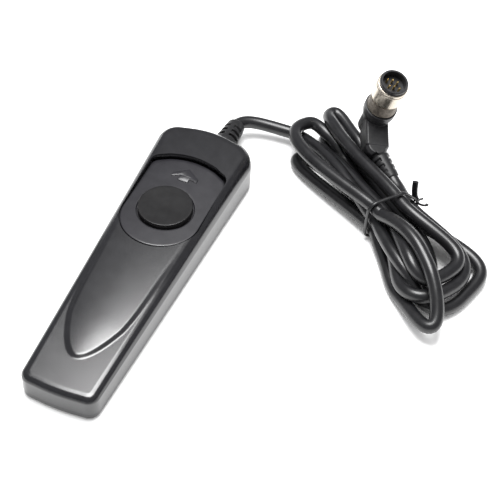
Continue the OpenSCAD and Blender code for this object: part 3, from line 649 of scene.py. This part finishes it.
# ---------------------------------------------------------------- cable

CABLE_R, PITCH, SLOT_FOOT = 2.1, 4.3, 3.9
TIE_AT, TIE_ANGLE = np.array([62.7, 48.5, 0.0]), math.radians(-40)
TIE_ALONG = np.array([math.cos(TIE_ANGLE), math.sin(TIE_ANGLE), 0])
TIE_ACROSS = np.array([-math.sin(TIE_ANGLE), math.cos(TIE_ANGLE), 0])
TIE_SLOTS = [(0, 1), (3, 0), (2, 2), (1, 1), (2, 1), (2, 0), (0, 2), (0, 0), (1, 0), (3, 1)]
LOOPS = [
    ((92, 30, 2.2), 72, 22, 14, 22, -14, 34, 27),
    ((30.5, 84, 6), -130, 6, 8, 18, 16, 15, 0),
    ((86.5, 33, 6.4), -112, 12, 20, 14, 0, 22, -20),
    ((31.5, 79, 2.2), 50, 7, 6, 16, 0, 17, 5),
    ((79.5, 29, 2.2), -112, 10, 12, 12, 6, 26, -34),
    ((25, 75.5, 10), -130, 8, 14, 18, 0, 28, 18),
    ((86.5, 11.5, 5), -150, 5, 5, 22, 14, 18, -10),
    ((26.5, 65.5, 2.2), 50, 6, 6, 26, 12, 17, 0),
    ((88, 28.5, 6.4), 65, 22, 18, 24, -26, 14, 8),
]
BOOT = np.array([CABLE_X, 66.45, CABLE_Z])
FIRST_BEND = np.array([20.0, 73.0, 4.0])


def slot_place(column, row):
    return TIE_AT + [0, 0, SLOT_FOOT + row * PITCH] + (column - 1.5) * PITCH * TIE_ACROSS


def curve(handles, steps):
    made = []
    for t in np.linspace(0, 1, steps + 1):
        g = [np.array(h, float) for h in handles]
        while len(g) > 1:
            g = [(1 - t) * g[i] + t * g[i + 1] for i in range(len(g) - 1)]
        made.append(g[0])
    return made


def off_tie(side, degrees):
    a = TIE_ANGLE + math.radians(degrees)
    return side * np.array([math.cos(a), math.sin(a), 0])


def cable_route():
    first = slot_place(*TIE_SLOTS[0])
    leaving = BOOT - [0, 1, 0]
    parts = [[(CABLE_X, 39, CABLE_Z)],
             curve([leaving, leaving + [0, 6, 0], FIRST_BEND - [9, 0.5, -0.6], FIRST_BEND], 24),
             curve([FIRST_BEND, FIRST_BEND + [9, 0.5, -1], first - 18 * TIE_ALONG, first], 40)]
    for i, (far, heading, before, after, l1, t1, l2, t2) in enumerate(LOOPS):
        side = 1 if i % 2 == 0 else -1
        far = np.array(far, float)
        run = np.array([math.cos(math.radians(heading)), math.sin(math.radians(heading)), 0])
        here, there = slot_place(*TIE_SLOTS[i]), slot_place(*TIE_SLOTS[i + 1])
        straight = side * 4 * TIE_ALONG
        parts.append(curve([here, here + straight, here + l1 * off_tie(side, t1),
                            far - run * before, far], 40))
        parts.append(curve([far, far + run * after, there + l2 * off_tie(side, t2),
                            there + straight, there], 40))
    last = slot_place(*TIE_SLOTS[-1])
    inside = plug_point([PIVOT, 0, 0])
    mouth = plug_point([PIVOT + RELIEF_LONG * math.cos(math.radians(RELIEF_TURN)),
                        RELIEF_LONG * math.sin(math.radians(RELIEF_TURN)), 0])
    out = (mouth - inside) / np.linalg.norm(mouth - inside)
    parts += [curve([last, last - 6 * TIE_ALONG, mouth + 6 * out, mouth], 20), [inside]]
    points = [parts[0][0]]
    for part in parts:
        for p in part:
            if np.linalg.norm(np.array(p) - points[-1]) > 0.05:
                points.append(np.array(p, float))
    return np.array(points), mouth, inside


def relaxed(points, mouth, inside, rounds):
    """Pushes strands apart until they lie on each other, keeping the ends and the tie in place."""
    run = np.concatenate([[0], np.cumsum(np.linalg.norm(np.diff(points, axis=0), axis=1))])
    total = run[-1]
    rest = even(points, int(total / 1.25))
    n = len(rest)
    place = np.arange(n) * total / (n - 1)
    to_tie = (rest - TIE_AT)[:, :2] @ TIE_ALONG[:2]
    aside = (rest - TIE_AT)[:, :2] @ TIE_ACROSS[:2]
    held = (np.abs(to_tie) < 3.2) & (np.abs(aside) < 12)
    held |= (place < 30) | (place > total - RELIEF_LONG - 2)
    free = ~held
    apart = 2 * CABLE_R + 0.12
    far = np.abs(place[:, None] - place[None]) > 9
    guards = [(plug_point([x, 0, 0]), 3.9 + CABLE_R + 0.15) for x in np.linspace(0, PIVOT, 9)]
    guards += [(inside + (mouth - inside) * t, 3.7 - 1.15 * t + CABLE_R + 0.1)
               for t in np.linspace(0, 1, 9)]
    guards += [(plug_point([0, 0, z]), 5.3 + CABLE_R) for z in np.linspace(-2, 8, 6)]
    shift = np.zeros_like(rest)
    for k in range(rounds):
        points = rest + shift
        gap = points[:, None] - points[None]
        dist = np.linalg.norm(gap, axis=2)
        i, j = np.nonzero((dist < apart) & far)
        push = np.zeros_like(points)
        if len(i):
            d = dist[i, j]
            away = gap[i, j] / np.maximum(d, 1e-6)[:, None]
            flat = d < 2.5
            over = rest[i[flat], 2] + 1e-4 * i[flat] >= rest[j[flat], 2] + 1e-4 * j[flat]
            away[flat] *= 0.4
            away[flat, 2] = np.where(over, 1, -1)
            np.add.at(push, i, (apart - d)[:, None] * away * [0.1, 0.1, 0.4])
            push /= np.minimum(np.bincount(i, minlength=n).clip(1), 3)[:, None]
        for centre, reach in guards:
            rel = points - centre
            d = np.linalg.norm(rel, axis=1)
            bad = (d < reach) & free
            push[bad] += rel[bad] / d[bad][:, None] * (reach - d[bad])[:, None] * 0.5
        push[:, 2] += np.maximum(CABLE_R + 0.02 - points[:, 2], 0)
        shift[free] += (push - shift * [0.03, 0.03, 0.002])[free]
        for _ in range(2):
            soft = shift.copy()
            soft[1:-1] = (shift[:-2] + 2 * shift[1:-1] + shift[2:]) / 4
            shift[free] = soft[free]
        shift[:, 2] = np.where(free, np.maximum(shift[:, 2], CABLE_R + 0.01 - rest[:, 2]), shift[:, 2])
    return rest + shift


def sweep(name, line, section, mat, body, closed=False, up=None, **more):
    """A section swept along a line without twisting; up fixes its second axis."""
    n, m = len(line), len(section)
    ahead = (np.roll(line, -1, 0) - np.roll(line, 1, 0)) if closed else np.gradient(line, axis=0)
    ahead /= np.linalg.norm(ahead, axis=1)[:, None]
    side = np.cross(ahead[0], [0, 0, 1.0] if up is None else up)
    side /= np.linalg.norm(side)
    rings = []
    for k in range(n):
        if up is None:
            side = side - ahead[k] * (side @ ahead[k])
        else:
            side = np.cross(ahead[k], up)
        side /= np.linalg.norm(side)
        over = np.cross(side, ahead[k])
        rings.append(line[k] + section[:, :1] * side + section[:, 1:] * over)
    faces = grid_faces(n, m, closed)
    if not closed:
        faces += [tuple(range(m))[::-1], tuple(range((n - 1) * m, n * m))]
    made = piece(name, np.concatenate(rings), faces, None, None, merge=0.0001)
    dress(made, mat, body, 45, **more)


def oval(wide, high, count):
    a = np.arange(count) * 2 * math.pi / count
    return np.stack([wide * np.cos(a), high * np.sin(a)], 1)


def make_cable():
    points, mouth, inside = cable_route()
    points = relaxed(points, mouth, inside, 260)
    line = smooth_line(points, 0.62)
    section = oval(CABLE_R, CABLE_R, 32)
    sweep("cable", line, section, JACKET, "case", replaced=("cable_jacket",), slot="cable_jacket")


def make_tie():
    reach = CABLE_R + 0.7 + 0.12
    corners = [(0, 0, 270, 180), (0, 2, 180, 90), (2, 2, 90, 45), (3, 1, 45, 0), (3, 0, 0, -90)]
    loop = []
    for column, row, start, end in corners:
        for a in np.radians(np.linspace(start, end, 13)):
            loop.append(slot_place(column, row)
                        + reach * (TIE_ACROSS * math.cos(a) + np.array([0, 0, math.sin(a)])))
    loop = np.array(loop)
    keep = [p for k, p in enumerate(loop) if np.linalg.norm(p - loop[k - 1]) > 0.05]
    line = even(np.vstack([keep, keep[:1]]), 161)[:-1]
    sweep("twist_tie_loop", line, oval(0.42, 0.62, 16), TIE, "case", closed=True, up=TIE_ALONG,
          replaced=("twist_tie",), slot="tie_plastic")
    a = math.radians(25)
    ends = slot_place(3, 1) + reach * (TIE_ACROSS * math.cos(a) + np.array([0, 0, math.sin(a)]))
    stub = smooth_line(np.array([ends, ends + [-0.9, 0, 1.6], ends + [-1.4, 0, 4.4],
                                 ends + [-1.6, 0, 7.6]]), 0.3)
    sweep("twist_tie_stub", stub, oval(0.95, 0.5, 24), TIE, "case", slot="tie_plastic",
          up=np.array([0.17, -0.98, 0]))
    curl = []
    for t in np.linspace(0, 1, 60):
        b = math.radians(320 * t)
        curl.append(ends + TIE_ALONG * 1.4 + [1.3 * math.sin(b), 0, 2.4 * t - 1.6]
                    + TIE_ACROSS * (1.3 + 1.3 * math.cos(b)))
    sweep("twist_tie_curl", np.array(curl), oval(0.42, 0.36, 14), TIE, "case", slot="tie_plastic")


make_top_cover()
make_bottom_cover()
make_slider()
make_button()
make_coupling_ring()
make_cable()
make_tie()
softened("plug_body", "plug_moulding", RUBBER, "case", 0.14, 6, "plug_rubber")
softened("cable_boot", "boot_moulding", RUBBER, "case", 0.12, 5, "boot_rubber")

KEPT = {
    "case_screws": STEEL, "bridge_screws": STEEL, "stack_screws": STEEL, "clamp_screws": STEEL,
    "return_spring": SPRING, "spring_bridge": STEEL, "common_leaf": BRONZE, "focus_leaf": BRONZE,
    "shutter_leaf": BRONZE, "leaf_terminals": BRONZE, "leaf_spacers": FIBRE, "inner_wires": WIRES,
    "cable_clamp": COVER, "plug_shell": NICKEL, "contact_insulator": SOCKET, "contact_pins": GOLD,
    "retaining_ring": SPRING, "plug_wires": WIRES,
}
for name, mat in KEPT.items():
    mesh = nodes[name].data
    mesh.materials.clear()
    mesh.materials.append(mat)
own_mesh(nodes["return_spring"])


# ---------------------------------------------------------------- floor, light and camera

def make_floor():
    mesh = bpy.data.meshes.new("floor")
    s = 3.0
    mesh.from_pydata([(-s, -s, 0), (s, -s, 0), (s, s, 0), (-s, s, 0)], [], [(0, 1, 2, 3)])
    floor = bpy.data.objects.new("floor", mesh)
    bpy.context.scene.collection.objects.link(floor)
    floor.location.z = -0.00005
    mat, out = shader("floor_paper")
    noise = add(mat, "ShaderNodeTexNoise", Scale=30.0, Detail=2.0)
    tint = ramp(mat, 0.9, 0.93)
    mat.node_tree.links.new(noise.outputs["Fac"], tint.inputs["Fac"])
    mat.node_tree.links.new(tint.outputs["Color"], out.inputs["Base Color"])
    out.inputs["Roughness"].default_value = 0.9
    mesh.materials.append(mat)


def softbox(name, place, target, wide, high, power):
    data = bpy.data.lights.new(name, "AREA")
    data.shape = "RECTANGLE"
    data.size, data.size_y, data.energy = wide, high, power
    light = bpy.data.objects.new(name, data)
    bpy.context.scene.collection.objects.link(light)
    light.location = place
    light.rotation_mode = "QUATERNION"
    light.rotation_quaternion = (Vector(place) - Vector(target)).to_track_quat("Z", "Y")


def make_world():
    """White behind the part and in the soft fill, darker in what the glossy surfaces mirror."""
    world = bpy.data.worlds.new("studio")
    bpy.context.scene.world = world
    world.use_nodes = True
    tree = world.node_tree
    back = tree.nodes["Background"]
    ray = tree.nodes.new("ShaderNodeLightPath")
    fill = tree.nodes.new("ShaderNodeMix")
    fill.data_type = "RGBA"
    fill.inputs["A"].default_value = (1.05, 1.05, 1.05, 1)
    fill.inputs["B"].default_value = (0.3, 0.3, 0.315, 1)
    tree.links.new(ray.outputs["Is Glossy Ray"], fill.inputs["Factor"])
    view = tree.nodes.new("ShaderNodeMix")
    view.data_type = "RGBA"
    view.inputs["B"].default_value = (1, 1, 1, 1)
    tree.links.new(ray.outputs["Is Camera Ray"], view.inputs["Factor"])
    tree.links.new(fill.outputs["Result"], view.inputs["A"])
    tree.links.new(view.outputs["Result"], back.inputs["Color"])
    back.inputs["Strength"].default_value = 1.0


def make_camera():
    data = bpy.data.cameras.new("camera")
    camera = bpy.data.objects.new("camera", data)
    bpy.context.scene.collection.objects.link(camera)
    place, target, roll = Vector((0.10667, -0.21019, 0.27599)), Vector((0.0261, 0.0225, 0)), 4.11
    back = (place - target).to_track_quat("Z", "Y")
    camera.location = place
    camera.rotation_mode = "QUATERNION"
    camera.rotation_quaternion = back @ Matrix.Rotation(math.radians(roll), 3, "Z").to_quaternion()
    data.sensor_width = 36
    data.lens = 86.3
    data.clip_start, data.clip_end = 0.01, 20
    bpy.context.scene.camera = camera


make_floor()
make_world()
softbox("overhead", (-0.035, 0.085, 0.6), (-0.035, 0.085, 0), 0.3, 0.37, 6.2)
make_camera()
bpy.context.scene.view_settings.view_transform = "Standard"
